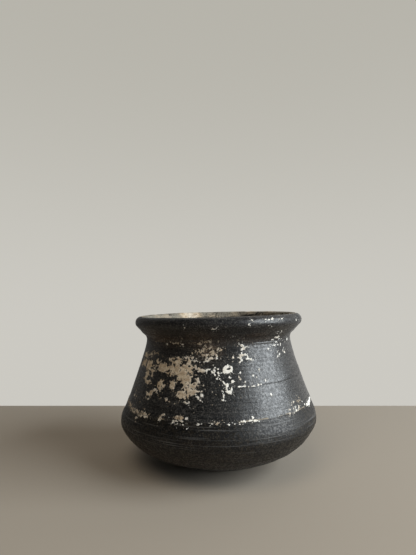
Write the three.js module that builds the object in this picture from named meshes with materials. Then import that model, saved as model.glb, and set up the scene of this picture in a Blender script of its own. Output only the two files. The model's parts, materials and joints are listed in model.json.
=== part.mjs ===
// A small round-bellied pot of black-fired earthenware, built up by hand from six sections of clay.
// Units are millimetres, +Z is up, and the origin is the centre of the flat foot, on the surface
// that the pot stands on. Each section is one ring (the lowest is a bowl) turned from its own
// profile, and a thin line of slip keeps it from the next.
import * as THREE from "three";

// The outer wall, from the foot up: radius, height, and the wall's thickness there.
const WALL = [
  { radius: 33, height: 0, wall: 9 }, // edge of the flat foot
  { radius: 58, height: 10, wall: 8.5 }, // heel
  { radius: 84.6, height: 23.4, wall: 8 }, // lower wall
  { radius: 98.4, height: 39.8, wall: 7.5 }, // under the belly
  { radius: 100, height: 50.9, wall: 7.5 }, // belly, the widest place
  { radius: 94.9, height: 64.1, wall: 7.5 }, // where the bowl ends
  { radius: 84.6, height: 91.9, wall: 7 }, // middle of the shoulder
  { radius: 76.3, height: 117.4, wall: 7 }, // top of the shoulder
  { radius: 74.8, height: 128.6, wall: 8 }, // neck, the narrowest place
  { radius: 79.4, height: 134.4, wall: 10 }, // rim, starting to flare
];

// The rolled lip is round in section. Its arc runs from the outer wall over the top to the mouth.
const LIP_RADIUS = 6;
const LIP_CENTRE = new THREE.Vector2(80.7, 144.45);
const LIP_START = THREE.MathUtils.degToRad(-38);
const LIP_END = LIP_START + Math.PI;
const LIP_STEPS = 8;

// Heights, on the outside, at which one section of clay ends and the next begins.
const SEAMS = [
  { below: "base_bowl", height: 64 },
  { below: "belly_band", height: 69.5 },
  { below: "lower_shoulder_coil", height: 91.5 },
  { below: "upper_shoulder_coil", height: 113.5 },
  { below: "neck_coil", height: 127 },
];
const TOP_SECTION = "rim_coil";
const SCARF = 5; // each joint slopes: inside, it is this much lower along the wall
const SLIP = 0.4; // thickness of the line of slip, measured along the wall

// The pot leans a little: every level line rises towards +X, and the lip also rises towards -Y.
// Each lean grows from nothing at one height to its full slope at another.
const SIDE_LEAN = { slope: 0.023, from: 0, to: 60 };
const LIP_LEAN = { slope: 0.017, from: 105, to: 140 };

const SEGMENTS = 64; // facets round the pot
const STEP = 7; // spacing of profile points along the wall

const LOOKS = {
  base_bowl: { color: 0x2a2724, roughness: 0.8 },
  belly_band: { color: 0x35342f, roughness: 0.7 },
  lower_shoulder_coil: { color: 0x303133, roughness: 0.6 },
  upper_shoulder_coil: { color: 0x303133, roughness: 0.6 },
  neck_coil: { color: 0x2c2b2a, roughness: 0.65 },
  rim_coil: { color: 0x2b2d30, roughness: 0.55 },
};

// A point on the lip's round section.
function lipPoint(angle) {
  const spoke = new THREE.Vector2(Math.cos(angle), Math.sin(angle));
  return spoke.multiplyScalar(LIP_RADIUS).add(LIP_CENTRE);
}

// The outer wall runs through its stations and ends where the lip's arc starts.
const lipStart = lipPoint(LIP_START);
const outerWall = new THREE.SplineCurve([
  ...WALL.map(({ radius, height }) => new THREE.Vector2(radius, height)),
  lipStart,
]);
const thickness = new THREE.SplineCurve(
  [...WALL.map(({ wall }) => wall), 2 * LIP_RADIUS].map((wall, i) => new THREE.Vector2(i, wall)),
);

// The inner wall lies one thickness inside the outer wall, square to it.
function innerPoint(t) {
  const along = outerWall.getTangent(t);
  const inwards = new THREE.Vector2(-along.y, along.x);
  return inwards.multiplyScalar(thickness.getPoint(t).y).add(outerWall.getPoint(t));
}

// The place on the outer wall, from 0 to 1, that is at a given height.
function placeAtHeight(height) {
  let low = 0;
  let high = 1;
  while (high - low > 1e-6) {
    const middle = (low + high) / 2;
    if (outerWall.getPoint(middle).y < height) low = middle;
    else high = middle;
  }
  return low;
}

// The place that lies a distance along the wall from another place; down is negative.
function placeAlong(place, distance) {
  const speed = outerWall.getTangent(place).y * distance;
  return placeAtHeight(outerWall.getPoint(place).y + speed);
}

// Evenly spaced points of a wall between two places, both included.
function sample(pointAt, from, to) {
  const length = pointAt(from).distanceTo(pointAt(to));
  const steps = Math.max(1, Math.round(length / STEP));
  return Array.from({ length: steps + 1 }, (_, i) => pointAt(from + ((to - from) * i) / steps));
}

const outerPoint = (t) => outerWall.getPoint(t);

// The profile of the section between two seams. The lowest starts at the foot and has a floor,
// and the highest is closed by the lip.
function sectionProfile(lowSeam, highSeam) {
  const lowOut = lowSeam ? placeAlong(placeAtHeight(lowSeam.height), SLIP / 2) : 0;
  const lowIn = lowSeam ? placeAlong(lowOut, -SCARF) : 0;
  const highOut = highSeam ? placeAlong(placeAtHeight(highSeam.height), -SLIP / 2) : 1;
  const highIn = highSeam ? placeAlong(highOut, -SCARF) : 1;
  const outside = sample(outerPoint, lowOut, highOut);
  const inside = sample(innerPoint, highIn, lowIn);
  if (!highSeam) {
    for (let i = 1; i < LIP_STEPS; i++) {
      outside.push(lipPoint(LIP_START + ((LIP_END - LIP_START) * i) / LIP_STEPS));
    }
  }
  if (lowSeam) return [...outside, ...inside, outside[0].clone()];
  const footCentre = new THREE.Vector2(0, 0);
  const floorCentre = new THREE.Vector2(0, inside.at(-1).y);
  return [footCentre, ...outside, ...inside, floorCentre];
}

function slopeAt(lean, height) {
  return lean.slope * THREE.MathUtils.smoothstep(height, lean.from, lean.to);
}

// Turns a profile about the pot's axis, stands it up along +Z and gives it the pot's leans.
function turnSection(profile) {
  const geometry = new THREE.LatheGeometry(profile, SEGMENTS);
  geometry.rotateX(Math.PI / 2);
  const position = geometry.getAttribute("position");
  for (let i = 0; i < position.count; i++) {
    const { x, y, z } = new THREE.Vector3().fromBufferAttribute(position, i);
    position.setZ(i, z + slopeAt(SIDE_LEAN, z) * x - slopeAt(LIP_LEAN, z) * y);
  }
  geometry.computeVertexNormals();
  return geometry;
}

const pot = new THREE.Group();
const names = [...SEAMS.map(({ below }) => below), TOP_SECTION];
names.forEach((name, i) => {
  const section = new THREE.Mesh(
    turnSection(sectionProfile(SEAMS[i - 1], SEAMS[i])),
    new THREE.MeshStandardMaterial({ ...LOOKS[name], metalness: 0 }),
  );
  section.name = name;
  pot.add(section);
});

export default pot;
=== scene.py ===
# %% [markdown]
# # A small pot of black-fired clay
# This lesson makes an old, hand-built earthenware pot. It has a round bottom with a small flat
# foot, a belly that turns sharply into a sloping shoulder, a short neck and a flared, rolled rim.
# The clay was burnished with a pebble and fired in smoke, which turned it black, and years of use
# have left pale lime and soil on it.
#
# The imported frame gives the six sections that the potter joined: a bowl, a narrow band, two
# shoulder coils, a neck coil and a rim. Here each of them gets its fine surface.

# %% Load the frame
import json
import math

import bmesh
import bpy
import numpy as np
from mathutils import Matrix, Vector


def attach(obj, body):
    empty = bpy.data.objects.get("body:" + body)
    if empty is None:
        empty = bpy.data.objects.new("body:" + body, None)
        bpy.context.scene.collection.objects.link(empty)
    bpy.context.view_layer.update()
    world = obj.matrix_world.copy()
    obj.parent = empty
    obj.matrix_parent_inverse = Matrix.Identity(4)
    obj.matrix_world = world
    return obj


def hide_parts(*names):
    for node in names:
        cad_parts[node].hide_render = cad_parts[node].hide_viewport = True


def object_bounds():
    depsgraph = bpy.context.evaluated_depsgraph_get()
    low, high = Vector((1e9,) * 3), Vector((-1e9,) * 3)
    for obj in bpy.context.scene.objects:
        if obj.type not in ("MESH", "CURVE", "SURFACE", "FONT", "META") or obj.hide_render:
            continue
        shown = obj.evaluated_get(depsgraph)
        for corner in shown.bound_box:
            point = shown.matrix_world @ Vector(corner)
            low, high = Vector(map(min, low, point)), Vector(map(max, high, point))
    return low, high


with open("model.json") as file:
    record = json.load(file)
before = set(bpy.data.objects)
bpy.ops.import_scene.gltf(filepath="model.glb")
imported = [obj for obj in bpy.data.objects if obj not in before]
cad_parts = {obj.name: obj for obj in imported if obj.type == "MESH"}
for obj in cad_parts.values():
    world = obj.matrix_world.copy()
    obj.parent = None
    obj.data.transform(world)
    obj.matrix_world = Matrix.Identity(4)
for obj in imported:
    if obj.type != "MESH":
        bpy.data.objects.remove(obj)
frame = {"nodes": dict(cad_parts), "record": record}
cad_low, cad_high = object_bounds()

MM = 0.001
print("nodes:", sorted(frame["nodes"]))
print("the pot is", [round((b - a) / MM, 1) for a, b in zip(cad_low, cad_high)], "mm")

# %% [markdown]
# ## The wall as one curve
# A potter's wall is one sweep from foot to lip. The same few stations that drive the frame are
# repeated here: radius, height and wall thickness, in millimetres. A Catmull-Rom curve goes
# through them, because it passes through every station and needs no handles. A Bezier curve would
# do as well, but its handles would be twice as many numbers to keep.

# %% The stations of the wall
WALL = [
    (33, 0, 9),  # edge of the flat foot
    (58, 10, 8.5),  # heel
    (84.6, 23.4, 8),  # lower wall
    (98.4, 39.8, 7.5),  # under the belly
    (100, 50.9, 7.5),  # belly, the widest place
    (94.9, 64.1, 7.5),  # where the bowl ends
    (84.6, 91.9, 7),  # middle of the shoulder
    (76.3, 117.4, 7),  # top of the shoulder
    (74.8, 128.6, 8),  # neck, the narrowest place
    (79.4, 134.4, 10),  # rim, starting to flare
]
LIP_RADIUS = 6
LIP_CENTRE = np.array([80.7, 144.45])
LIP_START = math.radians(-38)
LIP_END = LIP_START + math.pi


def lip_point(angle):
    """A point on the lip's round section: radius and height."""
    return LIP_CENTRE + LIP_RADIUS * np.array([math.cos(angle), math.sin(angle)])


STATIONS = np.array(WALL + [(*lip_point(LIP_START), 2 * LIP_RADIUS)], float)
print("stations:", len(STATIONS), "lip starts at", lip_point(LIP_START).round(1))

# %% Points and directions on the wall
LAST = len(STATIONS) - 1


def station_curve(place):
    """Radius, height and thickness at a place from 0, the foot, to LAST, the lip."""
    i = min(int(place), LAST - 1)
    t = place - i
    before, here, there, after = (STATIONS[min(max(i + k, 0), LAST)] for k in (-1, 0, 1, 2))
    leave, arrive = (there - before) / 2, (after - here) / 2
    bend = 2 * here - 2 * there + leave + arrive
    turn = -3 * here + 3 * there - 2 * leave - arrive
    return bend * t**3 + turn * t**2 + leave * t + here


def outer_point(place):
    return station_curve(place)[:2]


def inner_point(place):
    """One thickness inside the outer wall, square to it."""
    small = 1e-4
    ahead, behind = min(place + small, LAST), max(place - small, 0)
    along = outer_point(ahead) - outer_point(behind)
    along /= np.linalg.norm(along)
    return outer_point(place) + station_curve(place)[2] * np.array([-along[1], along[0]])


def place_at_height(height):
    """The place on the outer wall that is at this height."""
    low, high = 0.0, float(LAST)
    while high - low > 1e-6:
        middle = (low + high) / 2
        low, high = (middle, high) if outer_point(middle)[1] < height else (low, middle)
    return low


print("the neck is at place", round(place_at_height(128.6), 2), "of", LAST)

# %% [markdown]
# ## The sections of clay
# Each section ends in a slope, so that it laps over the one below: potters thumb one coil down over
# the next, because a sloping joint has more clay touching than a flat one. A joint on the inside is
# 5 mm lower along the wall than on the outside. Each section's profile is a closed line of points,
# 0.6 mm apart where they show and wider apart where they don't.

# %% Seams and spacing
SEAMS = {
    "base_bowl": 64,
    "belly_band": 69.5,
    "lower_shoulder_coil": 91.5,
    "upper_shoulder_coil": 113.5,
    "neck_coil": 127,
}
SECTIONS = [*SEAMS, "rim_coil"]
SCARF = 5
SLIP = 0.06  # the hairline that stays open between two sections
FINE, PLAIN, COARSE = 0.6, 1.8, 3.4  # spacing of rows: outside, under the belly, and inside
CRUSTED_FROM = 44  # the height above which the outside has fine rows
OUTSIDE, INSIDE, JOINT = 0.0, 1.0, 0.5  # which side of the wall a point is on
TURNED_IN, FULLY_IN = 0.3, 0.7  # over the lip, the values where the inside begins and is all
TURN_FROM, TURN_OVER = 1.2, 0.9  # radians of the lip's arc over which the outside becomes inside


def place_along(place, distance):
    """The place that is this far along the wall; down is negative."""
    small = 1e-3
    rise = outer_point(min(place + small, LAST)) - outer_point(max(place - small, 0))
    slope = rise[1] / np.linalg.norm(rise)
    return place_at_height(outer_point(place)[1] + slope * distance)


def rows(point_at, start, end, spacing, side):
    """Evenly spaced points of one side of the wall: radius, height, side."""
    places = np.linspace(start, end, 200)
    points = np.array([point_at(p) for p in places])
    lengths = np.concatenate([[0], np.cumsum(np.linalg.norm(np.diff(points, axis=0), axis=1))])
    count = max(2, round(lengths[-1] / spacing) + 1)
    wanted = np.linspace(0, lengths[-1], count)
    return [(*(np.interp(w, lengths, points[:, k]) for k in (0, 1)), side) for w in wanted]


def straight(start, end, spacing, side):
    """Points between two profile points, neither included."""
    count = max(2, round(math.dist(start[:2], end[:2]) / spacing))
    steps = np.linspace(0, 1, count + 1)[1:-1]
    return [(*(start[k] + (end[k] - start[k]) * t for k in (0, 1)), side) for t in steps]


def section_profile(name):
    """The closed outline of one section, from its lowest outside point, up and round."""
    number = SECTIONS.index(name)
    low_out, low_in, high_out, high_in = 0, 0, LAST, LAST
    if number > 0:
        low_out = place_along(place_at_height(SEAMS[SECTIONS[number - 1]]), SLIP / 2)
        low_in = place_along(low_out, -SCARF)
    if name in SEAMS:
        high_out = place_along(place_at_height(SEAMS[name]), -SLIP / 2)
        high_in = place_along(high_out, -SCARF)
    outside = rows(outer_point, low_out, high_out, FINE, OUTSIDE)
    if number == 0:
        turn_over = place_at_height(CRUSTED_FROM)
        outside = rows(outer_point, low_out, turn_over, PLAIN, OUTSIDE)[:-1]
        outside += rows(outer_point, turn_over, high_out, FINE, OUTSIDE)
    inside = rows(inner_point, high_in, low_in, COARSE, INSIDE)
    if name in SEAMS:
        top = straight(outside[-1], inside[0], COARSE, JOINT)
    else:
        arc = np.linspace(LIP_START, LIP_END, round(math.pi * LIP_RADIUS / FINE) + 1)[1:-1]
        top = [(*lip_point(a), min(max((a - TURN_FROM) / TURN_OVER, 0), 1)) for a in arc]
    if number > 0:
        return [*outside, *top, *inside, *straight(inside[-1], outside[0], COARSE, JOINT)]
    foot, floor = (0.0, 0.0, OUTSIDE), (0.0, inside[-1][1], INSIDE)
    under = straight(foot, outside[0], COARSE, OUTSIDE)
    above = straight(inside[-1], floor, COARSE, INSIDE)
    return [foot, *under, *outside, *top, *inside, *above, floor]


profiles = {name: section_profile(name) for name in SECTIONS}
print({name: len(points) for name, points in profiles.items()})

# %% [markdown]
# ## Turning a section
# The profile is spun about the pot's axis, as a potter's hands go round. bmesh.ops.spin could make
# the whole turn, but it slows down as the mesh grows, so it makes one slice of a sixteenth, and the
# slice is copied and turned four times over: 1, 2, 4, 8, 16. Each profile point carries its height
# and its side of the wall in two named layers, which spin and duplicate copy along, so that later
# steps know where on the pot a point is. Shading is smooth except over the sharp edges at the
# joints: smoothed over, a joint would look like a dark line even where it is rubbed shut.

# %% Spin the six sections
DOUBLINGS = 4
SLICE = math.tau / 2**DOUBLINGS
SLICE_STEPS = {"base_bowl": 47}  # points round one slice; the bowl is tall, so it gets fewer
USUAL_SLICE_STEPS = 60
SHARP = math.radians(50)  # past this angle an edge is shaded as a corner


def turn(name):
    """One section as a mesh object, smooth and still perfectly round."""
    bm = bmesh.new()
    level = bm.verts.layers.float.new("level")
    side = bm.verts.layers.float.new("side")
    chain = []
    for radius, height, which in profiles[name]:
        vert = bm.verts.new((radius * MM, 0, height * MM))
        vert[level], vert[side] = height, which
        chain.append(vert)
    edges = [bm.edges.new(pair) for pair in zip(chain, chain[1:])]
    if name != "base_bowl":
        edges.append(bm.edges.new((chain[-1], chain[0])))
    steps = SLICE_STEPS.get(name, USUAL_SLICE_STEPS)
    bmesh.ops.spin(bm, geom=chain + edges, cent=(0, 0, 0), axis=(0, 0, 1), angle=SLICE, steps=steps)
    for number in range(DOUBLINGS):
        copy = bmesh.ops.duplicate(bm, geom=bm.verts[:] + bm.edges[:] + bm.faces[:])["geom"]
        copied = [part for part in copy if isinstance(part, bmesh.types.BMVert)]
        turned = Matrix.Rotation(SLICE * 2**number, 3, "Z")
        bmesh.ops.rotate(bm, verts=copied, cent=(0, 0, 0), matrix=turned)
    bmesh.ops.remove_doubles(bm, verts=bm.verts, dist=0.01 * MM)
    bmesh.ops.recalc_face_normals(bm, faces=bm.faces)
    for corner in bm.edges:
        corner.smooth = corner.calc_face_angle(0) < SHARP
    mesh = bpy.data.meshes.new(name + "_clay")
    bm.to_mesh(mesh)
    bm.free()
    mesh.shade_smooth()
    piece = bpy.data.objects.new(name + "_clay", mesh)
    bpy.context.scene.collection.objects.link(piece)
    return piece


pieces = {name: turn(name) for name in SECTIONS}
print({name: 2 * len(piece.data.polygons) for name, piece in pieces.items()}, "triangles")

# %% [markdown]
# ## Where the pale crust lies
# Lime from hard water and soil cling to the wall in ragged islands. Noise alone would scatter them
# evenly, but on a real pot they have places: one broad island on the left of the shoulder, small
# ones beside it, and deposits caught along the joints. So each island is listed as an oval:
# angle round the pot from the front (degrees, to the right), height, half width and half height
# (millimetres), tilt (degrees) and whiteness. Noise then roughens the edges. Three more lists give
# the deposits along joints, the bare places inside an island, and the places strewn with crumbs.

# %% The islands
ISLANDS = [
    # the broad island on the left of the shoulder
    (-27, 105.2, 14, 5.5, 0, 0.25), (-29, 111.2, 6, 4.2, 0, 0.25), (-36, 113.7, 2.4, 1.4, 0, 0.3),
    (-36, 106.6, 3, 2.6, 0, 0.3),
    (-40.5, 106.2, 9.5, 3, -12, 0.3), (-46, 108.8, 4, 1.7, -30, 0.3), (-22, 99.2, 8.5, 5, 0, 0.25),
    (-18, 93.7, 7.5, 6.5, 0, 0.3), (-17, 88.7, 7, 3.6, 0, 0.35), (-22.5, 85.4, 5, 3.6, 20, 0.28),
    (-13.4, 84.8, 3.6, 1.1, -40, 0.6), (-10.6, 85.4, 1.6, 1.6, 0, 0.75), (-29.7, 92.6, 3.4, 3.9, 0, 0.3),
    (-13.8, 106.2, 6, 2.1, -10, 0.4), (-13.6, 97.7, 1.5, 4, 0, 0.4), (-20.5, 111.2, 2.2, 1.6, 0, 0.3),
    (-16, 113.4, 2.4, 0.9, 0, 0.5), (-21, 116, 6, 0.8, 0, 0.4), (-24, 102.2, 9, 4, 0, 0.25),
    # the scattered islands further left
    (-67, 113.5, 6, 2.4, 0, 0.35), (-57.5, 115.8, 3.4, 1.8, 15, 0.35), (-50.5, 117.2, 2.4, 0.8, 0, 0.2),
    (-66, 106.2, 9, 3.2, 0, 0.3), (-57, 105.6, 7.5, 3.4, 0, 0.3), (-51.5, 102.2, 4.4, 1.5, 0, 0.35),
    (-56.5, 97.2, 4.4, 2.6, 20, 0.3), (-50, 97.7, 2, 2, 0, 0.35), (-52, 92.2, 3.6, 2.2, 0, 0.35),
    (-57, 93.7, 2.6, 1.4, 0, 0.25), (-40.5, 92.2, 3.2, 3, 0, 0.25), (-39, 88.8, 2.8, 1.8, 0, 0.3),
    (-36.3, 90.4, 1.8, 1.4, 0, 0.3), (-43, 86.8, 1.4, 1.2, 0, 0.5), (-46, 83.7, 6, 1.8, 16, 0.4),
    (-48.6, 80.8, 3, 1.4, 0, 0.35), (-48, 78, 2.2, 0.9, 0, 0.4), (-65.5, 76, 2, 1.5, -30, 0.5),
    (-32.4, 81.2, 0.9, 1.2, 0, 0.4), (-20, 79.8, 1, 0.9, 0, 0.5), (-18, 80.2, 0.9, 1.5, 0, 0.6),
    # the speckled patch under the neck
    (-12.5, 121.4, 3, 1.1, 0, 0.16), (-5, 120.6, 3.6, 1.9, 0, 0.15), (-6.4, 115.4, 4.2, 1.6, 0, 0.4),
    (-6.5, 128, 1.5, 1.4, 0, 0.1), (-1.6, 123, 2.4, 0.8, 10, 0.2), (-2.5, 115.6, 1.8, 0.9, -20, 0.7),
    (-17, 121.2, 1.8, 0.9, 0, 0.25), (-9, 117.8, 3, 1, 0, 0.3), (-10, 125, 1.6, 0.8, 0, 0.12),
    (-4, 118, 2.4, 1.2, 0, 0.35), (-8, 123.4, 2.2, 0.8, 0, 0.16), (-9, 113.6, 1.6, 0.8, 20, 0.5),
    # the curls and drops towards the front
    (-8.5, 105.2, 1, 1.6, 0, 0.7), (-7, 106.4, 1.6, 0.8, 0, 0.7), (-5.4, 104.8, 1.3, 0.8, -30, 0.75),
    (-3.6, 105.8, 0.9, 2.8, -12, 0.75), (-1.2, 102.8, 1, 2.6, 22, 0.8), (-3.4, 101.6, 0.9, 0.9, 0, 0.7),
    (-2.4, 98.8, 0.9, 1, 0, 0.7), (-1.6, 106.8, 1.2, 0.9, 0, 0.7),
    (4.8, 106.4, 4.6, 3.5, 0, 1), (2.5, 103.8, 1.8, 1.1, 0, 0.9), (5.7, 99.6, 0.8, 1.5, 25, 0.95),
    (7.3, 96.2, 1.7, 1.4, 0, 1), (2.3, 95, 0.8, 2.4, 35, 0.95), (4, 93.4, 1.5, 2, 0, 1),
    (3.7, 90.2, 0.9, 2.4, 10, 0.95), (4.8, 88, 3, 1.5, -14, 1), (6.5, 90.2, 0.9, 1.6, 0, 0.9),
    (1.8, 84.6, 0.8, 2.4, -8, 0.95), (1.5, 82.2, 1.1, 0.9, 0, 0.9), (1.5, 88.8, 0.8, 0.8, 0, 0.8),
    # the bow-shaped drip and its neighbours
    (13, 126.2, 1.6, 0.8, -16, 0.5), (15.2, 125, 1.6, 1.2, -30, 0.5), (16.2, 123.4, 2.3, 1.9, 0, 0.5),
    (18, 123.2, 1.8, 1.1, 14, 0.55), (15, 121.4, 0.9, 2.2, 0, 0.8), (14.6, 119, 0.9, 1.5, 0, 0.9),
    (13.6, 116.2, 2.5, 2.2, 0, 0.5), (12, 115.4, 1.3, 1.3, 30, 0.5), (14, 113.8, 1.6, 0.9, 0, 0.9),
    (12.8, 111.8, 0.9, 0.8, 0, 0.8), (17, 117.4, 1.3, 1.1, -30, 0.6), (18.6, 115.6, 1.3, 1.1, -40, 0.7),
    (18.4, 113.9, 2.6, 0.9, 0, 0.9), (20.8, 113.5, 1.6, 0.8, 0, 0.95), (8.6, 115.6, 0.8, 0.9, 0, 0.4),
    # on the neck and the right of the shoulder
    (43, 122.6, 1.6, 0.8, 0, 1), (46.6, 122.9, 1.6, 0.8, 0, 0.95), (45.4, 125.4, 2.2, 0.8, 0, 0.9),
    (41.4, 122.9, 1.2, 0.8, 0, 0.9), (45.4, 129.8, 2.6, 1.5, 0, 0.5), (41.5, 128, 1.2, 0.7, 0, 0.8),
    (48.6, 128.2, 1.4, 0.7, 0, 0.8), (36, 120.6, 0.9, 1.2, 8, 1), (62.6, 126, 1.6, 1.2, 20, 0.9),
    (45, 116.8, 0.9, 0.8, 0, 0.6), (46.8, 114.2, 1.2, 0.8, 20, 0.6), (44.4, 112.8, 0.9, 0.8, 0, 0.6),
    (50.6, 122.2, 0.8, 1, 0, 0.7), (54, 115.8, 1, 0.8, 0, 0.5), (41.4, 135.8, 1, 0.7, 0, 0.7),
    (45.6, 135.2, 0.9, 0.6, -20, 0.6), (20.8, 99.8, 0.9, 0.7, 0, 0.8), (22.7, 97.8, 0.9, 0.7, 0, 0.8),
    (15.2, 95, 0.8, 0.8, 0, 0.8), (12, 97.6, 0.8, 1.2, 0, 0.45), (30.8, 82.6, 0.8, 1.1, 0, 0.9),
    (28.9, 95, 0.8, 0.8, 0, 0.7), (12.4, 103, 0.7, 0.7, 0, 0.8), (25.6, 104, 0.7, 0.7, 0, 0.7),
    # on the lip and under it
    (27.6, 147.4, 1.9, 0.7, 14, 1), (30.6, 147.3, 1.4, 0.65, -10, 0.9), (33.4, 147.4, 1, 0.6, 0, 0.7),
    (38.4, 147.2, 1.3, 0.65, 0, 1), (41, 147.3, 1.3, 0.7, 10, 1), (16.6, 143.9, 0.8, 0.8, 0, 0.8),
    (18.6, 147.4, 0.9, 0.7, 0, 0.7), (57.6, 144.8, 0.9, 0.9, 0, 0.8), (31, 142.4, 0.9, 0.6, 0, 0.5),
    (-21.3, 141.6, 0.8, 0.7, 0, 0.8), (-3.6, 140.6, 1.2, 0.6, 0, 0.6), (-40.6, 126.2, 0.8, 0.7, 0, 0.7),
    (-27, 127, 0.8, 0.6, 0, 0.5), (-33, 127.4, 1.8, 0.55, 0, 0.3), (-15, 127.2, 2.2, 0.55, 0, 0.25),
    (-9, 129.4, 2.2, 0.55, 0, 0.2), (8, 133.6, 0.8, 0.6, 0, 0.6),
]
DRY_JOINTS = [
    # deposits caught along the belly joint, from left to right
    (-74, 68, 6, 1.1, -10, 0.3), (-66, 66.9, 5, 1, -8, 0.35), (-60, 66, 4.5, 0.8, -4, 0.35),
    (-58, 63.8, 4, 0.9, 0, 0.4), (-53, 65.6, 4.5, 0.8, -6, 0.4), (-50, 63.6, 4, 0.9, 0, 0.4),
    (-45.4, 66.2, 2.4, 0.8, -8, 0.35), (-44.6, 64, 3.4, 0.8, 6, 0.5), (-52.4, 60.4, 1.4, 0.9, 0, 0.5),
    (-32.4, 67.8, 1.6, 0.8, 26, 0.45), (-33.6, 66, 0.9, 1.4, -20, 0.45), (-34.4, 64, 0.9, 1, 0, 0.5),
    (-31.2, 69, 0.8, 0.9, 0, 0.5), (-28.5, 66.6, 0.9, 0.8, 0, 0.6), (-22.4, 67, 2.6, 0.8, 0, 0.2),
    (-18, 67.1, 1.4, 0.7, 0, 0.6), (-25.4, 63.2, 1.1, 0.8, 0, 0.7), (-22.4, 64.9, 3.2, 0.7, 0, 0.6),
    (-23, 62.8, 1.6, 0.7, 0, 0.6), (-20, 64.4, 0.8, 0.9, 0, 0.7), (-19.4, 62.4, 0.8, 0.8, -25, 1),
    (-17.3, 59.6, 0.9, 0.8, 0, 0.9), (-11.5, 63.9, 1.6, 0.8, 0, 0.9), (-4.8, 64.1, 0.9, 0.8, 0, 0.9),
    (-1.2, 64.6, 2.2, 0.8, 0, 0.3), (4, 63.4, 2, 0.75, 0, 0.9), (7, 63.3, 0.9, 0.7, 0, 1),
    (12, 64.9, 2.2, 0.6, 0, 0.6), (15.4, 64.9, 2.6, 0.9, 0, 1), (18, 64.4, 2.6, 1.1, -6, 1),
    (20, 63.8, 1.2, 0.7, -10, 1), (17, 67, 1.2, 0.65, 0, 0.9),
    (41.4, 65, 1.53, 0.8, 0, 0.49), (44.4, 64.1, 1.36, 0.7, 0, 0.49), (47.6, 65.1, 1.53, 0.75, 12, 0.66),
    (49.6, 65.6, 1.02, 0.7, 20, 0.59), (47.8, 67.9, 0.85, 0.7, 0, 0.63), (45.4, 67.2, 0.68, 0.9, 0, 0.49),
    (42, 67.6, 0.94, 0.7, 0, 0.42), (45, 70.6, 0.94, 0.7, 20, 0.49), (47.6, 72.4, 1.1, 0.7, -16, 0.42),
    (51, 67, 0.68, 0.8, 0, 0.35), (52.8, 71.6, 1.36, 0.6, -16, 0.17), (54.2, 73.8, 0.85, 0.55, 0, 0.14),
    (57, 69.7, 0.8, 0.8, 0, 1), (58.6, 66.2, 1.6, 0.9, -20, 0.7), (62.6, 64.8, 3, 1.4, -12, 1),
    (67, 64.8, 5, 2.3, 0, 1), (71.4, 65.6, 4.4, 2.3, 8, 1), (75, 66.6, 2.6, 1.1, 12, 1),
    # white dashes on the joint half-way up
    (11.4, 91.9, 2.2, 0.75, 0, 1), (14.3, 91.9, 1.8, 0.75, 0, 1), (16.6, 91.7, 0.8, 0.65, 0, 0.9),
    (20.4, 91.4, 1.6, 0.85, -6, 1), (23.4, 91.8, 1.6, 0.85, 8, 1), (25.2, 92.2, 0.8, 0.7, 0, 0.9),
]
BARE = [
    # dark places where an island has flaked away: angle, height, half width, half height, tilt
    (-16.8, 97.4, 2, 3.8, 0), (-15.4, 100.8, 1.5, 1.3, 0), (-25.4, 92.2, 3, 3.4, 0),
    (-28.8, 96.8, 1.9, 1.2, 0), (-34.6, 103.6, 1.4, 0.8, 0),
    (-15.8, 105.8, 3, 0.8, -32), (-14.4, 91.8, 1.3, 1, 0), (-20.5, 88.2, 1.1, 0.9, 0),
    (-19.4, 102.2, 1, 0.8, 0), (-19.5, 93.1, 0.9, 0.7, 0), (-26.5, 109.4, 1.1, 0.9, 0),
    (-23.4, 111.4, 1.9, 1.1, 0), (-30.5, 113.8, 0.9, 1, 0), (-32, 108.7, 0.9, 0.7, 0),
    (5, 106.7, 1.4, 0.9, 0), (45.4, 123.8, 1, 0.6, 0), (5.4, 108.6, 0.6, 0.5, 0),
    (-62, 105.2, 2, 1.2, 0), (-50, 66, 1.2, 0.8, 0), (-57, 65.6, 1.4, 0.7, 0),
    (-4.2, 116.8, 1.4, 0.9, 0), (-22.6, 63.8, 2.4, 0.6, 0),
]
PEPPERED = [
    # places strewn with crumbs: angle, height, half width, half height, whiteness
    (-60, 98, 26, 18, 0.16), (-8, 121, 18, 7, 0.2), (-4, 104, 16, 7, 0.6), (-26, 96, 30, 18, 0.25),
    (-30, 129, 60, 4, 0.1), (48, 121, 14, 7, 0.6), (48, 67, 12, 5, 0.6), (-55, 66, 24, 4, 0.25),
]
print(len(ISLANDS), "islands,", len(DRY_JOINTS), "deposits on joints,", len(BARE), "bare places")

# %% [markdown]
# ## A field instead of a picture
# The islands could be painted as an image, but an image is fixed in its size, and a field is not.
# For each point of the wall the field says how far inside (positive) or outside (negative) the
# nearest island it is, in millimetres. The clay is raised a little where it is positive, and the
# shader later draws a crisp edge near where it crosses zero, so shape and colour agree.

# %% Reading and writing a mesh
def read(mesh, name, width=1):
    """A vertex attribute as an array."""
    values = np.empty(len(mesh.vertices) * width, np.float32)
    data, key = (mesh.vertices, "co") if name == "co" else (mesh.attributes[name].data, "value")
    data.foreach_get(key, values)
    return values.astype(float).reshape(-1, width) if width > 1 else values.astype(float)


def write(mesh, name, values):
    """Stores an array as a vertex attribute."""
    mesh.attributes.new(name, "FLOAT", "POINT").data.foreach_set("value", values.astype(np.float32))


def step(values, low, high):
    """0 below low, 1 above high, and smooth between."""
    t = np.clip((values - low) / (high - low), 0, 1)
    return t * t * (3 - 2 * t)


rng = np.random.default_rng(11)
SHUFFLED = rng.permutation(256)
DIRECTIONS = rng.normal(size=(256, 3))
DIRECTIONS /= np.linalg.norm(DIRECTIONS, axis=1)[:, None]


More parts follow.
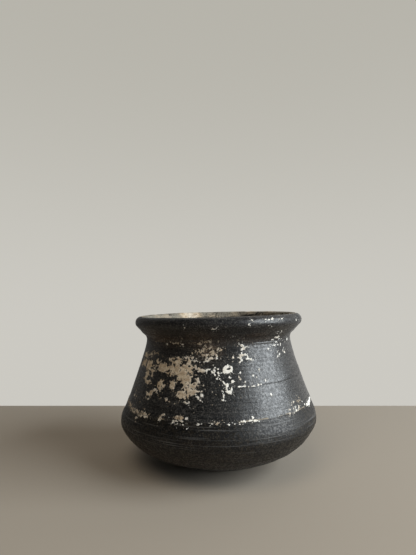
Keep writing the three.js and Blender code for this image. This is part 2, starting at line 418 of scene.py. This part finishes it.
def grain(points, size, seed, up=None):
    """Gradient noise from about -1 to 1, with lumps of this size, in millimetres; up stretches it."""
    scaled = points / np.array([size, size, up or size]) + seed * np.array([1, 2.7, -1.3])
    cell = np.floor(scaled).astype(int)
    inside = scaled - cell
    fade = inside**3 * (inside * (6 * inside - 15) + 10)
    total = np.zeros(len(points))
    for corner in np.ndindex(2, 2, 2):
        x, y, z = (cell + corner).T
        which = SHUFFLED[(SHUFFLED[(SHUFFLED[x & 255] + y) & 255] + z) & 255]
        share = np.prod(np.where(corner, fade, 1 - fade), axis=1)
        total += share * np.sum(DIRECTIONS[which] * (inside - corner), axis=1)
    return total * 1.9


# %% The field of the listed islands
def wall_radius(level):
    """Radius of the outer wall at heights below the lip."""
    places = np.linspace(0, LAST, 300)
    points = np.array([outer_point(p) for p in places])
    return np.interp(level, points[:, 1], points[:, 0])


def apart(angle, middle):
    """Degrees from one angle to another, the short way round."""
    return (angle - middle + 180) % 360 - 180


def oval_distance(angle, level, radius, oval):
    """Depth inside one tilted oval in millimetres, negative outside it."""
    middle, height, wide, tall, tilt = oval[:5]
    across = np.radians(apart(angle, middle)) * radius
    up = level - height
    turn_by = math.radians(tilt)
    along = across * math.cos(turn_by) + up * math.sin(turn_by)
    over = up * math.cos(turn_by) - across * math.sin(turn_by)
    return (1 - np.hypot(along / wide, over / tall)) * min(wide, tall)


NO_CRUST, DEEPEST = -6.0, 3.0  # the field is kept between these depths, in millimetres
THICK_ENOUGH = 2.1  # depth past which an island gets no more solid
FULLY_RAGGED = 2.5  # half size from which an island's edge is as ragged as it can be
SHRINK = 0.15  # what a wholly white island loses all round
BARE_RAGGED = 0.3  # how ragged a bare place is, against an island
CRUMB_REACH, CRUMB_DEPTH = 0.8, 2.6  # how strongly crumbs follow the noise, and how rare they are
CRUMBS_END = 3  # how soon crumbs stop outside their oval


def laid_islands(angle, level, radius, rough):
    """Depth inside the nearest island, with a ragged edge, and how white that island is."""
    depth = np.full(len(angle), NO_CRUST)
    white = np.full(len(angle), 0.5)

    def lay(here, whiteness):
        """Adds an island wherever it is deeper than those already there."""
        nearer = here > depth
        depth[nearer] = here[nearer]
        white[nearer] = whiteness

    for island in ISLANDS + DRY_JOINTS:
        whiteness = island[5]
        ragged = rough * (1.1 - whiteness) * min(1.0, min(island[2:4]) / FULLY_RAGGED)
        inside = np.minimum(oval_distance(angle, level, radius, island), THICK_ENOUGH)
        lay(inside + ragged - SHRINK * whiteness, whiteness)
    for middle, height, wide, tall, whiteness in PEPPERED:
        oval = (middle, height, wide, tall, 0)
        beyond = -oval_distance(angle, level, radius, oval) / min(wide, tall)
        lay(CRUMB_REACH * rough - CRUMB_DEPTH - CRUMBS_END * np.maximum(beyond, 0), whiteness)
    for bare in BARE:
        depth = np.minimum(depth, -oval_distance(angle, level, radius, bare) - BARE_RAGGED * rough)
    return depth, white


# %% The field of the back, the lip and the inside
FAR_OUT = 8  # depth taken off where a deposit doesn't belong, enough to leave none of it
BACK_ANGLES = (84, 112)  # degrees from the front over which the back's noise sets in
BACK_BOTTOM, BACK_TOP = (52, 66), (122, 130)  # heights over which the back's crust sets in and ends
DRY_HEIGHT, DRY_ANGLES = 65.4, (78, 96)  # the belly joint, and where its deposits turn into noise
LIP_CRUST_DOWN_TO = 144  # height inside the lip where its crust ends
LIP_CRUST_SLANT, HIGH_END = 1.8, 130  # that end lies this much higher at this angle
LIME_ANGLE, LIME_WIDTH = -155, 9  # where clean lime has gathered inside the lip, in degrees
LIME_GLOW = (8, 0.32)  # the same, for its whiteness: half width and extra whiteness
OLD_WHITE, INNER_WHITE = (0.5, 0.3), (0.04, 0.12)  # whiteness and its changes: outside and inside


def scattered_crust(place, angle, level, side, rough):
    """Crust of the back, the belly joint's back half, the lip and the inside."""
    away = np.abs(angle)
    back = 5.5 * (grain(place, 26, 3.1) - 0.42) + 1.2 * rough
    back -= FAR_OUT * (1 - step(away, *BACK_ANGLES))
    back -= 6 * (1 - step(level, *BACK_BOTTOM)) + 5 * step(level, *BACK_TOP)
    joint = 0.1 - np.abs(level - DRY_HEIGHT) + 3 * grain(place, 14, 5.7)
    joint -= FAR_OUT * (1 - step(away, *DRY_ANGLES))
    ends = LIP_CRUST_DOWN_TO + LIP_CRUST_SLANT * np.cos(np.radians(angle - HIGH_END))
    lip = 2.6 * (grain(place, 15, 8.3, up=3) + 0.45) + 0.7 * rough
    lip -= 6 * (1 - step(level, ends - 1.5, ends + 1.5))
    lip += 4 * np.exp(-(((angle - LIME_ANGLE) / LIME_WIDTH) ** 2))
    deep = 5 * (grain(place, 18, 1.9) - 0.62) + rough
    return np.where(side > TURNED_IN, np.maximum(lip, deep), np.maximum(back, joint))


def scattered_white(place, angle, side):
    """How white that crust is: in patches outside, and soiled inside except for the clean lime."""
    inward = side > TURNED_IN
    usual, change = np.where(inward[:, None], INNER_WHITE, OLD_WHITE).T
    width, extra = LIME_GLOW
    lime = extra * np.exp(-(((angle - LIME_ANGLE) / width) ** 2)) * inward
    return usual + change * grain(place, 16, 14.2) + lime


# %% [markdown]
# ## The hand's marks
# A coiled pot is never quite true. Paddling leaves shallow dents, the pebble leaves level facets,
# joints keep a fine groove where they weren't rubbed shut, and inside the fingers leave a slow
# spiral. Apart from a few chips in the lip these are fractions of a millimetre, but they break up
# the shine, and without them the pot looks like plastic. They are moved into the mesh itself, square
# to the wall, so that they are there in every light. The mesh's own normals tip over at the sharp
# edges of a joint, so outside they are worked out from the wall's curve instead. Only marks finer
# than the mesh are left to the material.

# %% Strengths of the marks, in millimetres
OUT_OF_ROUND = 0.4  # broad swing of the whole wall
DENT = 0.28  # the paddle's dents
FACET = 0.12  # level facets from the pebble
TOOTH = 0.045  # the clay's own grain
GROOVE, GROOVE_HALF = 0.34, 0.5  # depth and half width of an open joint
BAND_RAISED = 0.3  # how proud the band over the belly joint stands
BAND_FOOT, BAND_TOP = (63.4, 65.6), (68.2, 70.4)  # heights over which it rises and falls
CRUST_THICKNESS = 0.22
CRUST_EDGE = (-0.3, 0.5)  # depths in the field over which the crust reaches its thickness
FINGER, FINGER_PITCH = 0.45, 9  # depth and spacing of the finger marks inside
FOOT_TRUE = (0.3, 5)  # heights over which the marks set in above the flat foot
CHIP_EDGE = 1.6  # how far in from its outline a chip is at its deepest
CHIPS = [
    # angle, height, half width, half height and depth
    (64, 148, 5, 3.2, 1.1), (-118, 149, 4, 3, 1.4), (152, 148.5, 6, 3, 1.2), (20, 149.6, 3, 2, 0.5),
]
RAGGED = [(1.6, 6, 11.3), (2.2, 3, 12.9, 2.2), (2.2, 1.7, 3.3)]  # strength, size, seed, stretch
SIDE_LEAN = (0.023, 0, 60)  # slope towards the right, and the heights where it grows
LIP_LEAN = (0.017, 105, 140)  # slope towards the front
OPEN_JOINTS = [
    # where a joint can still be seen: height, middle angle, half width in degrees, depth from 0 to 1
    (127, -38, 24, 0.8), (127, 42, 20, 0.8), (127, 165, 50, 0.9),
    (113.5, 30, 13, 0.5), (113.5, -20, 14, 0.4), (113.5, -130, 30, 0.9),
    (91.5, 45, 26, 1), (91.5, 120, 40, 0.9), (91.5, -110, 40, 0.9),
    (69.5, -22, 20, 0.35), (69.5, 50, 18, 0.4), (69.5, -100, 40, 0.9), (69.5, 160, 40, 0.9),
    (64, -35, 30, 0.7), (64, 52, 26, 0.8), (64, 130, 40, 1), (64, -140, 40, 0.9),
]


def outside_marks(place, angle, level, radius, crust):
    """How far the outer wall stands proud of its true curve."""
    proud = OUT_OF_ROUND * grain(place, 70, 0.4) + DENT * grain(place, 21, 6.1)
    proud += FACET * grain(place, 24, 2.2, up=2.3) + TOOTH * grain(place, 2.3, 9.4)
    uneven = 0.75 + 0.4 * grain(place, 9, 4.9)
    for height, middle, wide, depth in OPEN_JOINTS:
        open_here = depth * (1 - step(np.abs(apart(angle, middle)), 0.6 * wide, wide))
        proud -= GROOVE * open_here * uneven * np.exp(-(((level - height) / GROOVE_HALF) ** 2))
    raised = 0.7 + 0.4 * grain(place, 40, 8.8)
    proud += BAND_RAISED * raised * step(level, *BAND_FOOT) * (1 - step(level, *BAND_TOP))
    proud += CRUST_THICKNESS * step(crust, *CRUST_EDGE)
    for *oval, depth in CHIPS:
        proud -= depth * step(oval_distance(angle, level, radius, (*oval, 0)), 0, CHIP_EDGE)
    return proud


def inside_marks(place, angle, level, crust):
    """How far the inner wall stands proud: a spiral of finger marks and uneven thumbing."""
    spiral = np.cos(math.tau * (level / FINGER_PITCH + angle / 360))
    proud = FINGER * spiral * (0.5 + 0.4 * grain(place, 30, 7.7)) + 0.5 * grain(place, 34, 1.2)
    return proud + CRUST_THICKNESS * step(crust, *CRUST_EDGE)


# %% Where brown shows
BROWNED = [
    # soft brown places: angle, height, half width, half height, strength
    (-48, 131, 40, 7, 0.9), (-14, 131, 26, 7, 0.8), (28, 132, 26, 7, 0.5), (-7, 122, 12, 8, 1),
    (-30, 30, 90, 14, 0.7), (30, 26, 80, 13, 0.5), (150, 28, 110, 15, 0.6), (-64, 108, 14, 9, 0.3),
    (165, 131, 60, 8, 0.6), (110, 100, 30, 20, 0.35), (-130, 90, 35, 18, 0.3),
]


def browned(angle, level, radius):
    """How much brown shows through the black, from 0 to 1."""
    brown = np.zeros(len(angle))
    for middle, height, wide, tall, strength in BROWNED:
        across = np.radians(apart(angle, middle)) * radius
        spread = np.exp(-((across / wide) ** 2) - ((level - height) / tall) ** 2)
        brown = np.maximum(brown, strength * spread)
    return brown


# %% Shape each section and store its fields
def wall_normals(mesh, place, level, side):
    """Directions out of the clay: the mesh's own, but square to the wall's curve on the outside."""
    normals = np.empty(len(mesh.vertices) * 3, np.float32)
    mesh.vertex_normals.foreach_get("vector", normals)
    normals = normals.reshape(-1, 3).astype(float)
    steepness = (wall_radius(level + 0.5) - wall_radius(level - 0.5))[:, None]
    flat = place[:, :2] / np.maximum(np.linalg.norm(place[:, :2], axis=1), 1e-6)[:, None]
    square = np.concatenate([flat, -steepness], axis=1) / np.sqrt(1 + steepness**2)
    on_wall = (side == OUTSIDE) & (level > CRUSTED_FROM) & (level < WALL[-1][1])
    return np.where(on_wall[:, None], square, normals)


def shape(piece):
    """Gives one section its marks, crust and lean."""
    mesh = piece.data
    place, level, side = read(mesh, "co", 3) / MM, read(mesh, "level"), read(mesh, "side")
    angle = np.degrees(np.arctan2(place[:, 0], -place[:, 1]))
    radius = wall_radius(level)
    rough = sum(strength * grain(place, *lumps) for strength, *lumps in RAGGED)
    laid, laid_white = laid_islands(angle, level, radius, rough)
    laid = np.where(side > TURNED_IN, NO_CRUST, laid)
    scattered = scattered_crust(place, angle, level, side, rough)
    crust = np.clip(np.maximum(laid, scattered), NO_CRUST, DEEPEST)
    white = np.where(scattered > laid, scattered_white(place, angle, side), laid_white)
    brown = browned(angle, level, radius)
    normals = wall_normals(mesh, place, level, side)
    outer = outside_marks(place, angle, level, radius, crust)
    inner = inside_marks(place, angle, level, crust)
    over_the_lip = np.where(side > FULLY_IN, inner, 0.5 * outer + 0.5 * inner)
    proud = np.where(side < TURNED_IN, outer, over_the_lip)
    if piece.name.startswith("base_bowl"):
        proud *= step(level, *FOOT_TRUE)
    mating = (np.abs(side - JOINT) < 1e-6) & (level < max(SEAMS.values()) + 1)
    proud[mating] = 0
    place += normals * proud[:, None]
    to_side = SIDE_LEAN[0] * step(place[:, 2], *SIDE_LEAN[1:])
    to_front = LIP_LEAN[0] * step(place[:, 2], *LIP_LEAN[1:])
    place[:, 2] += to_side * place[:, 0] - to_front * place[:, 1]
    place[:, 2] = np.maximum(place[:, 2], 0)
    mesh.vertices.foreach_set("co", (place * MM).astype(np.float32).ravel())
    mesh.update()
    for name, values in (("crust", crust), ("white", np.clip(white, 0, 1)), ("brown", brown)):
        write(mesh, name, values)
    print(piece.name, "crust covers", round(float(np.mean(crust > 0)), 3), "of its points")


for piece in pieces.values():
    shape(piece)

# %% [markdown]
# ## Building materials from small parts
# A node tree is easier to read when each effect is a group with a name. Little helpers keep the
# code short: they place a node and fill its sockets, do sums, blend values and open a group. A
# group puts out only masks, colours, heights and values; the shader itself stays in the material.

# %% Helpers for nodes
def put(tree, kind, sockets=(), **settings):
    """Places a shader node. A socket's value is a number, a colour, or another node's output."""
    made = tree.nodes.new("ShaderNode" + kind)
    for key, value in settings.items():
        setattr(made, key, value)
    for key, value in dict(sockets).items():
        if isinstance(value, bpy.types.NodeSocket):
            tree.links.new(value, made.inputs[key])
        else:
            made.inputs[key].default_value = value
    return made


def maths(tree, operation, a, b=0.0, clamp=False):
    return put(tree, "Math", {0: a, 1: b}, operation=operation, use_clamp=clamp).outputs[0]


def plus(tree, first, *others):
    """The sum of numbers and outputs."""
    for other in others:
        first = maths(tree, "ADD", first, other)
    return first


def times(tree, first, *others):
    """The product of numbers and outputs."""
    for other in others:
        first = maths(tree, "MULTIPLY", first, other)
    return first


def minus(tree, first, other):
    return maths(tree, "SUBTRACT", first, other)


def edge(tree, value, low, high):
    """A soft step from 0 at low to 1 at high."""
    sockets = {"Value": value, "From Min": low, "From Max": high}
    return put(tree, "MapRange", sockets, interpolation_type="SMOOTHSTEP").outputs["Result"]


def mixed(tree, share, first, second):
    """A colour between two colours."""
    return put(tree, "Mix", {0: share, 6: first, 7: second}, data_type="RGBA").outputs[2]


def between(tree, share, first, second):
    """A number between two numbers."""
    return put(tree, "Mix", {0: share, 2: first, 3: second}, data_type="FLOAT").outputs[0]


def open_group(name, inputs, outputs):
    """A node group with named sockets: returns its tree, what comes in, and the node to fill."""
    tree = bpy.data.node_groups.new(name, "ShaderNodeTree")
    for socket, kind, value in inputs:
        made = tree.interface.new_socket(socket, in_out="INPUT", socket_type="NodeSocket" + kind)
        made.default_value = value
    for socket, kind in outputs:
        tree.interface.new_socket(socket, in_out="OUTPUT", socket_type="NodeSocket" + kind)
    return tree, tree.nodes.new("NodeGroupInput").outputs, tree.nodes.new("NodeGroupOutput").inputs


def use(tree, group, sockets=()):
    """Places a node group and fills its sockets."""
    return put(tree, "Group", sockets, node_tree=group).outputs


def rgb(red, green, blue):
    return (red, green, blue, 1)


# %% [markdown]
# ## Noise that runs level
# Burnishing strokes and smoke run level round the pot. Plain noise has no direction, so this group
# squeezes its height axis and stretches it around. It reads Object coordinates, which are in metres
# here, and turns them into millimetres, so that every size below is a real one.

# %% Group: level noise
def make_level_noise():
    tree, given, result = open_group(
        "level_noise",
        [("Length", "Float", 10), ("Height", "Float", 10), ("Detail", "Float", 2), ("Seed", "Float", 0)],
        [("Value", "Float")],
    )
    where = put(tree, "TexCoord").outputs["Object"]
    x, y, z = put(tree, "SeparateXYZ", {0: where}).outputs
    around = maths(tree, "DIVIDE", 1000, given["Length"])
    up = maths(tree, "DIVIDE", 1000, given["Height"])
    seeded = maths(tree, "ADD", maths(tree, "MULTIPLY", z, up), given["Seed"])
    point = put(
        tree, "CombineXYZ",
        {0: maths(tree, "MULTIPLY", x, around), 1: maths(tree, "MULTIPLY", y, around), 2: seeded},
    ).outputs[0]
    value = put(tree, "TexNoise", {"Vector": point, "Scale": 1, "Detail": given["Detail"]})
    tree.links.new(value.outputs["Fac"], result["Value"])
    return tree


level_noise = make_level_noise()


def noise_of(tree, length, height=None, detail=2, seed=0):
    """Level noise with these lump sizes in millimetres."""
    sockets = {"Length": length, "Height": height or length, "Detail": detail, "Seed": seed}
    return use(tree, level_noise, sockets)["Value"]


# %% [markdown]
# ## The pale crust
# The field of islands comes in as an attribute. Two finer noises nibble its edge, loose crumbs are
# strewn round it, a steep step makes it a mask, and small holes are eaten out of the middle. Its
# colour runs from grey soil, where it is least white, over tan to nearly white lime. Clean lime
# keeps a smooth edge, and tan crust a ragged one.

# %% Group: lime crust
SOIL, DARK_SOIL = rgb(0.25, 0.23, 0.19), rgb(0.14, 0.128, 0.104)
TAN, PALE_TAN, DARK_TAN = rgb(0.42, 0.325, 0.22), rgb(0.64, 0.54, 0.4), rgb(0.2, 0.14, 0.09)
LIME, CLEAN_LIME = rgb(0.66, 0.62, 0.54), rgb(0.84, 0.82, 0.77)


def make_lime_crust():
    tree, given, result = open_group(
        "lime_crust",
        [("Depth", "Float", 0), ("White", "Float", 0.5)],
        [("Mask", "Float"), ("Colour", "Color"), ("Height", "Float")],
    )
    depth, whiteness = given["Depth"], given["White"]
    coarse = minus(tree, noise_of(tree, 1.9, detail=4, seed=3), 0.5)
    fine = minus(tree, noise_of(tree, 0.8, detail=2, seed=8), 0.5)
    ragged = plus(tree, times(tree, coarse, 7), times(tree, fine, 3))
    ragged = times(tree, ragged, between(tree, whiteness, 1.2, 0.15))
    crumbs = edge(tree, noise_of(tree, 1.5, detail=2, seed=15), 0.6, 0.78)
    strewn = times(tree, crumbs, between(tree, whiteness, 4.7, 3))
    nibbled = plus(tree, depth, ragged, strewn)
    holes = edge(tree, noise_of(tree, 1.6, detail=3, seed=19), 0.6, 0.66)
    holes = times(tree, holes, between(tree, whiteness, 1, 0.2))
    mask = times(tree, edge(tree, nibbled, -0.1, 0.25), minus(tree, 1, holes))
    tree.links.new(mask, result["Mask"])

    cloud = noise_of(tree, 5, 3.5, detail=4, seed=21)
    dapple = edge(tree, noise_of(tree, 1.3, detail=3, seed=27), 0.3, 0.7)
    tan = mixed(tree, edge(tree, cloud, 0.35, 0.65), TAN, PALE_TAN)
    tan = mixed(tree, times(tree, dapple, 0.45), tan, DARK_TAN)
    soil = mixed(tree, dapple, SOIL, DARK_SOIL)
    tan = mixed(tree, edge(tree, whiteness, 0.02, 0.22), soil, tan)
    lime = mixed(tree, dapple, LIME, CLEAN_LIME)
    rim = minus(tree, 1, edge(tree, nibbled, 0.2, 1.1))
    clouded = times(tree, minus(tree, cloud, 0.5), 0.5)
    clean = plus(tree, whiteness, clouded, times(tree, rim, whiteness, 0.4))
    tree.links.new(mixed(tree, edge(tree, clean, 0.15, 0.95), tan, lime), result["Colour"])

    height = times(tree, mask, plus(tree, 0.1, times(tree, fine, 0.25)))
    tree.links.new(height, result["Height"])
    return tree


lime_crust = make_lime_crust()

# %% [markdown]
# ## Dust in the joints
# Where two sections meet, a thin line of soil stays in the groove that no cloth reaches. It is
# finer than the mesh, so the shader draws it from the height on the wall, which the attribute
# "level" carries, and noise breaks it into dashes.

# %% Group: joint dust
def make_joint_dust():
    tree, given, result = open_group(
        "joint_dust",
        [("Level", "Float", 0), ("Joint", "Float", 64), ("Width", "Float", 0.5), ("Length", "Float", 0.5)],
        [("Mask", "Float")],
    )
    waver = times(tree, minus(tree, noise_of(tree, 9, detail=3, seed=61), 0.5), 1.6)
    away = maths(tree, "ABSOLUTE", plus(tree, minus(tree, given["Level"], given["Joint"]), waver))
    near = minus(tree, 1, edge(tree, maths(tree, "DIVIDE", away, given["Width"]), 0.4, 1.4))
    dashes = edge(tree, plus(tree, noise_of(tree, 11, detail=4, seed=67), given["Length"]), 1.0, 1.12)
    tree.links.new(times(tree, near, dashes), result["Mask"])
    return tree


joint_dust = make_joint_dust()

# %% [markdown]
# ## Burnished and smoked clay
# Burnishing presses the grit flat, so the black surface is a satin patchwork: smooth facets with
# dull pinholes and scuffs between them. The group gives the colour of the clay, how shiny it is,
# and its finest relief. Brown shows where smoke was thinner or where the black is worn through, and
# it comes in streaks, because hands and cloths rub level. Dust fills the pores, and a finer sandy
# speckle is the grit that the pebble left bare.

# %% Group: smoked clay
PIT_SHADE = rgb(0.002, 0.002, 0.0024)  # painted shade at the bottom of a pit
RAW_CLAY = rgb(0.17, 0.105, 0.06)  # where the black is rubbed right through
SCUFF, DUST, SAND = rgb(0.11, 0.11, 0.11), rgb(0.2, 0.185, 0.16), rgb(0.115, 0.11, 0.1)


def make_smoked_clay():
    tree, given, result = open_group(
        "smoked_clay",
        [("Grey", "Color", rgb(0.03, 0.03, 0.032)), ("Brown", "Color", rgb(0.05, 0.03, 0.018)),
         ("Browned", "Float", 0), ("Polish", "Float", 0.5), ("Dust", "Float", 0.3),
         ("Strokes", "Float", 0.3)],
        [("Colour", "Color"), ("Roughness", "Float"), ("Height", "Float")],
    )
    cloud = noise_of(tree, 24, 12, detail=3, seed=31)
    strokes = noise_of(tree, 30, 1.4, detail=5, seed=37)
    tooth = noise_of(tree, 2.3, detail=4, seed=41)
    pores = noise_of(tree, 1.2, detail=3, seed=47)
    grit = edge(tree, plus(tree, times(tree, tooth, 0.5), times(tree, pores, 0.5)), 0.44, 0.6)
    clouded = times(tree, edge(tree, cloud, 0.35, 0.65), 0.3)
    stroked = times(tree, edge(tree, strokes, 0.35, 0.65), 0.3)
    # Where the relief dips, the colour goes nearly black: painted shade in the pits, on top of the clay's
    # own cloudy and stroked tone.
    tone_and_pit_shade = times(tree, plus(tree, clouded, stroked, 0.6), grit)
    colour = mixed(tree, tone_and_pit_shade, PIT_SHADE, given["Grey"])

    streaked = maths(tree, "MULTIPLY", given["Browned"], edge(tree, strokes, 0.25, 0.6), clamp=True)
    worn = mixed(tree, edge(tree, given["Browned"], 0.7, 1.0), given["Brown"], RAW_CLAY)
    shown = times(tree, streaked, plus(tree, 0.35, times(tree, grit, 0.65)))
    colour = mixed(tree, shown, colour, worn)
    scratches = edge(tree, noise_of(tree, 55, 0.9, detail=3, seed=71), 0.58, 0.7)
    colour = mixed(tree, times(tree, scratches, given["Strokes"]), colour, SCUFF)
    dusty = times(tree, edge(tree, pores, 0.6, 0.72), given["Dust"], edge(tree, cloud, 0.3, 0.6))
    colour = mixed(tree, dusty, colour, DUST)
    speckle = edge(tree, noise_of(tree, 1, detail=1, seed=83), 0.54, 0.66)
    colour = mixed(tree, times(tree, speckle, given["Dust"], 0.7), colour, SAND)
    tree.links.new(colour, result["Colour"])

    scuffed = plus(tree, times(tree, grit, -0.26), times(tree, strokes, 0.24), 0.62)
    rough = minus(tree, scuffed, times(tree, given["Polish"], 0.4))
    rough = plus(tree, rough, times(tree, streaked, 0.16))
    rough = maths(tree, "ADD", rough, times(tree, dusty, 0.3), clamp=True)
    tree.links.new(rough, result["Roughness"])
    relief = plus(tree, times(tree, tooth, 0.08), times(tree, strokes, 0.06), times(tree, pores, 0.15))
    tree.links.new(relief, result["Height"])
    return tree


smoked_clay = make_smoked_clay()

# %% [markdown]
# ## One recipe, three finishes
# The shoulder is burnished black, the bottom is dull from the fire and browner, and the rim is worn
# grey over the lip. The three materials share the groups and differ only in their values. The
# inside was never burnished: it is a dull, greyer clay, and the attribute "side" says where the
# wall turns over into it.

# %% The three clays
DUSTY_JOINTS = [
    # height, half width in millimetres, and how much of the joint is dusty
    (64.9, 0.55, 0.53), (69.4, 0.35, 0.4), (91.6, 0.35, 0.3), (113.6, 0.35, 0.26), (127, 0.35, 0.34),
]
JOINT_SOIL, SOOT = rgb(0.3, 0.25, 0.18), rgb(0.022, 0.02, 0.018)
ROUGH_INSIDE, ROUGH_SOIL, ROUGH_CRUST = 0.85, 0.9, 0.92


def field(tree, name):
    """A value that the mesh carries at each point."""
    return put(tree, "Attribute", attribute_name=name).outputs["Fac"]


def make_clay(name, grey, brown, polish, gloss, dust, strokes, bare_inside):
    material = bpy.data.materials.new(name)
    material.use_nodes = True
    tree = material.node_tree
    shader = tree.nodes["Principled BSDF"]
    shader.inputs["Specular IOR Level"].default_value = gloss
    outside = use(tree, smoked_clay, {
        "Grey": grey, "Brown": brown, "Browned": field(tree, "brown"), "Polish": polish, "Dust": dust,
        "Strokes": strokes,
    })
    within = edge(tree, field(tree, "side"), 0.25, 0.8)
    sooty = edge(tree, noise_of(tree, 14, 9, detail=4, seed=53), 0.35, 0.65)
    colour = mixed(tree, within, outside["Colour"], mixed(tree, sooty, bare_inside, SOOT))
    rough = between(tree, within, outside["Roughness"], ROUGH_INSIDE)
    dusted = 0.0
    for joint, width, length in DUSTY_JOINTS:
        line = {"Level": field(tree, "level"), "Joint": joint, "Width": width, "Length": length}
        dusted = maths(tree, "MAXIMUM", dusted, use(tree, joint_dust, line)["Mask"])
    dusted = maths(tree, "MULTIPLY", dusted, minus(tree, 0.75, within), clamp=True)
    colour = mixed(tree, dusted, colour, JOINT_SOIL)
    rough = between(tree, dusted, rough, ROUGH_SOIL)
    crust = use(tree, lime_crust, {"Depth": field(tree, "crust"), "White": field(tree, "white")})
    colour = mixed(tree, crust["Mask"], colour, crust["Colour"])
    rough = between(tree, crust["Mask"], rough, ROUGH_CRUST)
    height = plus(tree, outside["Height"], crust["Height"])
    normal = put(tree, "Bump", {"Height": height, "Strength": 1, "Distance": MM}).outputs["Normal"]
    tree.links.new(colour, shader.inputs["Base Color"])
    tree.links.new(rough, shader.inputs["Roughness"])
    tree.links.new(normal, shader.inputs["Normal"])
    return material


FINISHES = {
    "burnished_clay": {
        "grey": rgb(0.028, 0.028, 0.028), "brown": rgb(0.075, 0.045, 0.024),
        "polish": 0.7, "gloss": 0.5, "dust": 0.6, "strokes": 0.15,
        "bare_inside": rgb(0.09, 0.078, 0.062),
    },
    "sooted_clay": {
        "grey": rgb(0.018, 0.015, 0.011), "brown": rgb(0.03, 0.018, 0.009),
        "polish": 0.42, "gloss": 0.31, "dust": 0.3, "strokes": 0.6,
        "bare_inside": rgb(0.08, 0.068, 0.052),
    },
    "worn_rim_clay": {
        "grey": rgb(0.022, 0.022, 0.024), "brown": rgb(0.075, 0.045, 0.024),
        "polish": 0.62, "gloss": 0.38, "dust": 0.6, "strokes": 0.15,
        "bare_inside": rgb(0.12, 0.105, 0.082),
    },
}
clays = {name: make_clay(name, **finish) for name, finish in FINISHES.items()}
SLOTS = {part["node"]: part["material_slot"] for part in frame["record"]["subparts"]}
for name, piece in pieces.items():
    piece.data.materials.append(clays[SLOTS[name]])
    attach(piece, "root")
    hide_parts(name)
print("materials:", sorted(clays))

# %% [markdown]
# ## Floor, light and camera
# The pot stands on a plain pale board, and nothing is behind it, so that only its own shape shows.
# One large soft light, as of a window to the right, models the belly. A warm one, high in front,
# fills the shadow side, and gives no glints, because a burnished wall would mirror it as a second
# window. The surroundings are dim for the light and pale for the eye, as in a big room. The camera
# stands close and low, as a hand-held one does, so the mouth is seen almost edge-on.

# %% Floor
BOARD = (1.6, 1.1, 0.04)  # metres
BOARD_BACK = 0.21  # how far behind the pot's axis the board ends
bm = bmesh.new()
bmesh.ops.create_cube(bm, size=1)
bmesh.ops.scale(bm, vec=BOARD, verts=bm.verts)
bmesh.ops.translate(bm, vec=(0, BOARD_BACK - BOARD[1] / 2, -BOARD[2] / 2), verts=bm.verts)
bmesh.ops.bevel(bm, geom=bm.edges[:], offset=0.003, segments=3, profile=0.5, affect="EDGES", material=-1)
board_mesh = bpy.data.meshes.new("board")
bm.to_mesh(board_mesh)
bm.free()
board = bpy.data.objects.new("board", board_mesh)
bpy.context.scene.collection.objects.link(board)
board_paint = bpy.data.materials.new("pale_board")
board_paint.use_nodes = True
board_shader = board_paint.node_tree.nodes["Principled BSDF"]
board_shader.inputs["Base Color"].default_value = rgb(0.31, 0.27, 0.22)
board_shader.inputs["Roughness"].default_value = 0.9
board.data.materials.append(board_paint)


# %% Lights
def soft_light(name, size, power, colour, place, glints=True):
    """A square area light that faces the pot and isn't seen itself."""
    lamp = bpy.data.lights.new(name, "AREA")
    lamp.size, lamp.energy, lamp.color = size, power, colour
    holder = bpy.data.objects.new(name, lamp)
    holder.location = place
    away = Vector(place) - Vector((0, 0, cad_high[2] / 2))
    holder.rotation_euler = away.to_track_quat("Z", "Y").to_euler()
    holder.visible_camera = False
    holder.visible_glossy = glints
    bpy.context.scene.collection.objects.link(holder)
    return holder


soft_light("window", 1.55, 68, (0.9, 0.96, 1.0), (1.6, -0.62, 0.85))
soft_light("room", 1.2, 15, (1.0, 0.9, 0.76), (-0.5, -1.1, 1.8), glints=False)

# %% Surroundings
DARK, ROOM_LIGHT = rgb(0, 0, 0), rgb(1, 0.98, 0.94)
PALE_WALL, PALE_WALL_HIGH = rgb(0.6, 0.585, 0.54), rgb(0.47, 0.455, 0.405)
world = bpy.data.worlds.new("room")
world.use_nodes = True
air = world.node_tree
right, back, up = put(air, "SeparateXYZ", {0: put(air, "TexCoord").outputs["Generated"]}).outputs
from_behind = edge(air, back, -0.25, 0.7)
from_the_right = between(air, edge(air, right, -0.6, 0.6), 0.14, 0.65)
over_the_board = between(air, edge(air, up, -0.4, 0.05), 0.8, 1.0)
lit = times(air, plus(air, times(air, from_behind, from_the_right), 0.02), over_the_board)
room = mixed(air, lit, DARK, ROOM_LIGHT)
wall = mixed(air, edge(air, up, -0.1, 0.6), PALE_WALL, PALE_WALL_HIGH)
seen = mixed(air, put(air, "LightPath").outputs["Is Camera Ray"], room, wall)
air.links.new(seen, air.nodes["Background"].inputs["Color"])
bpy.context.scene.world = world
bpy.context.scene.view_settings.view_transform = "Standard"

# %% Camera
camera = bpy.data.cameras.new("camera")
camera.lens = 27.9
viewer = bpy.data.objects.new("camera", camera)
viewer.location = (-0.0107, -0.4583, 0.1741)
viewer.rotation_euler = (math.radians(91.94), 0, 0)
bpy.context.scene.collection.objects.link(viewer)
bpy.context.scene.camera = viewer
print("the camera is", round(viewer.location.length, 3), "m from the foot")
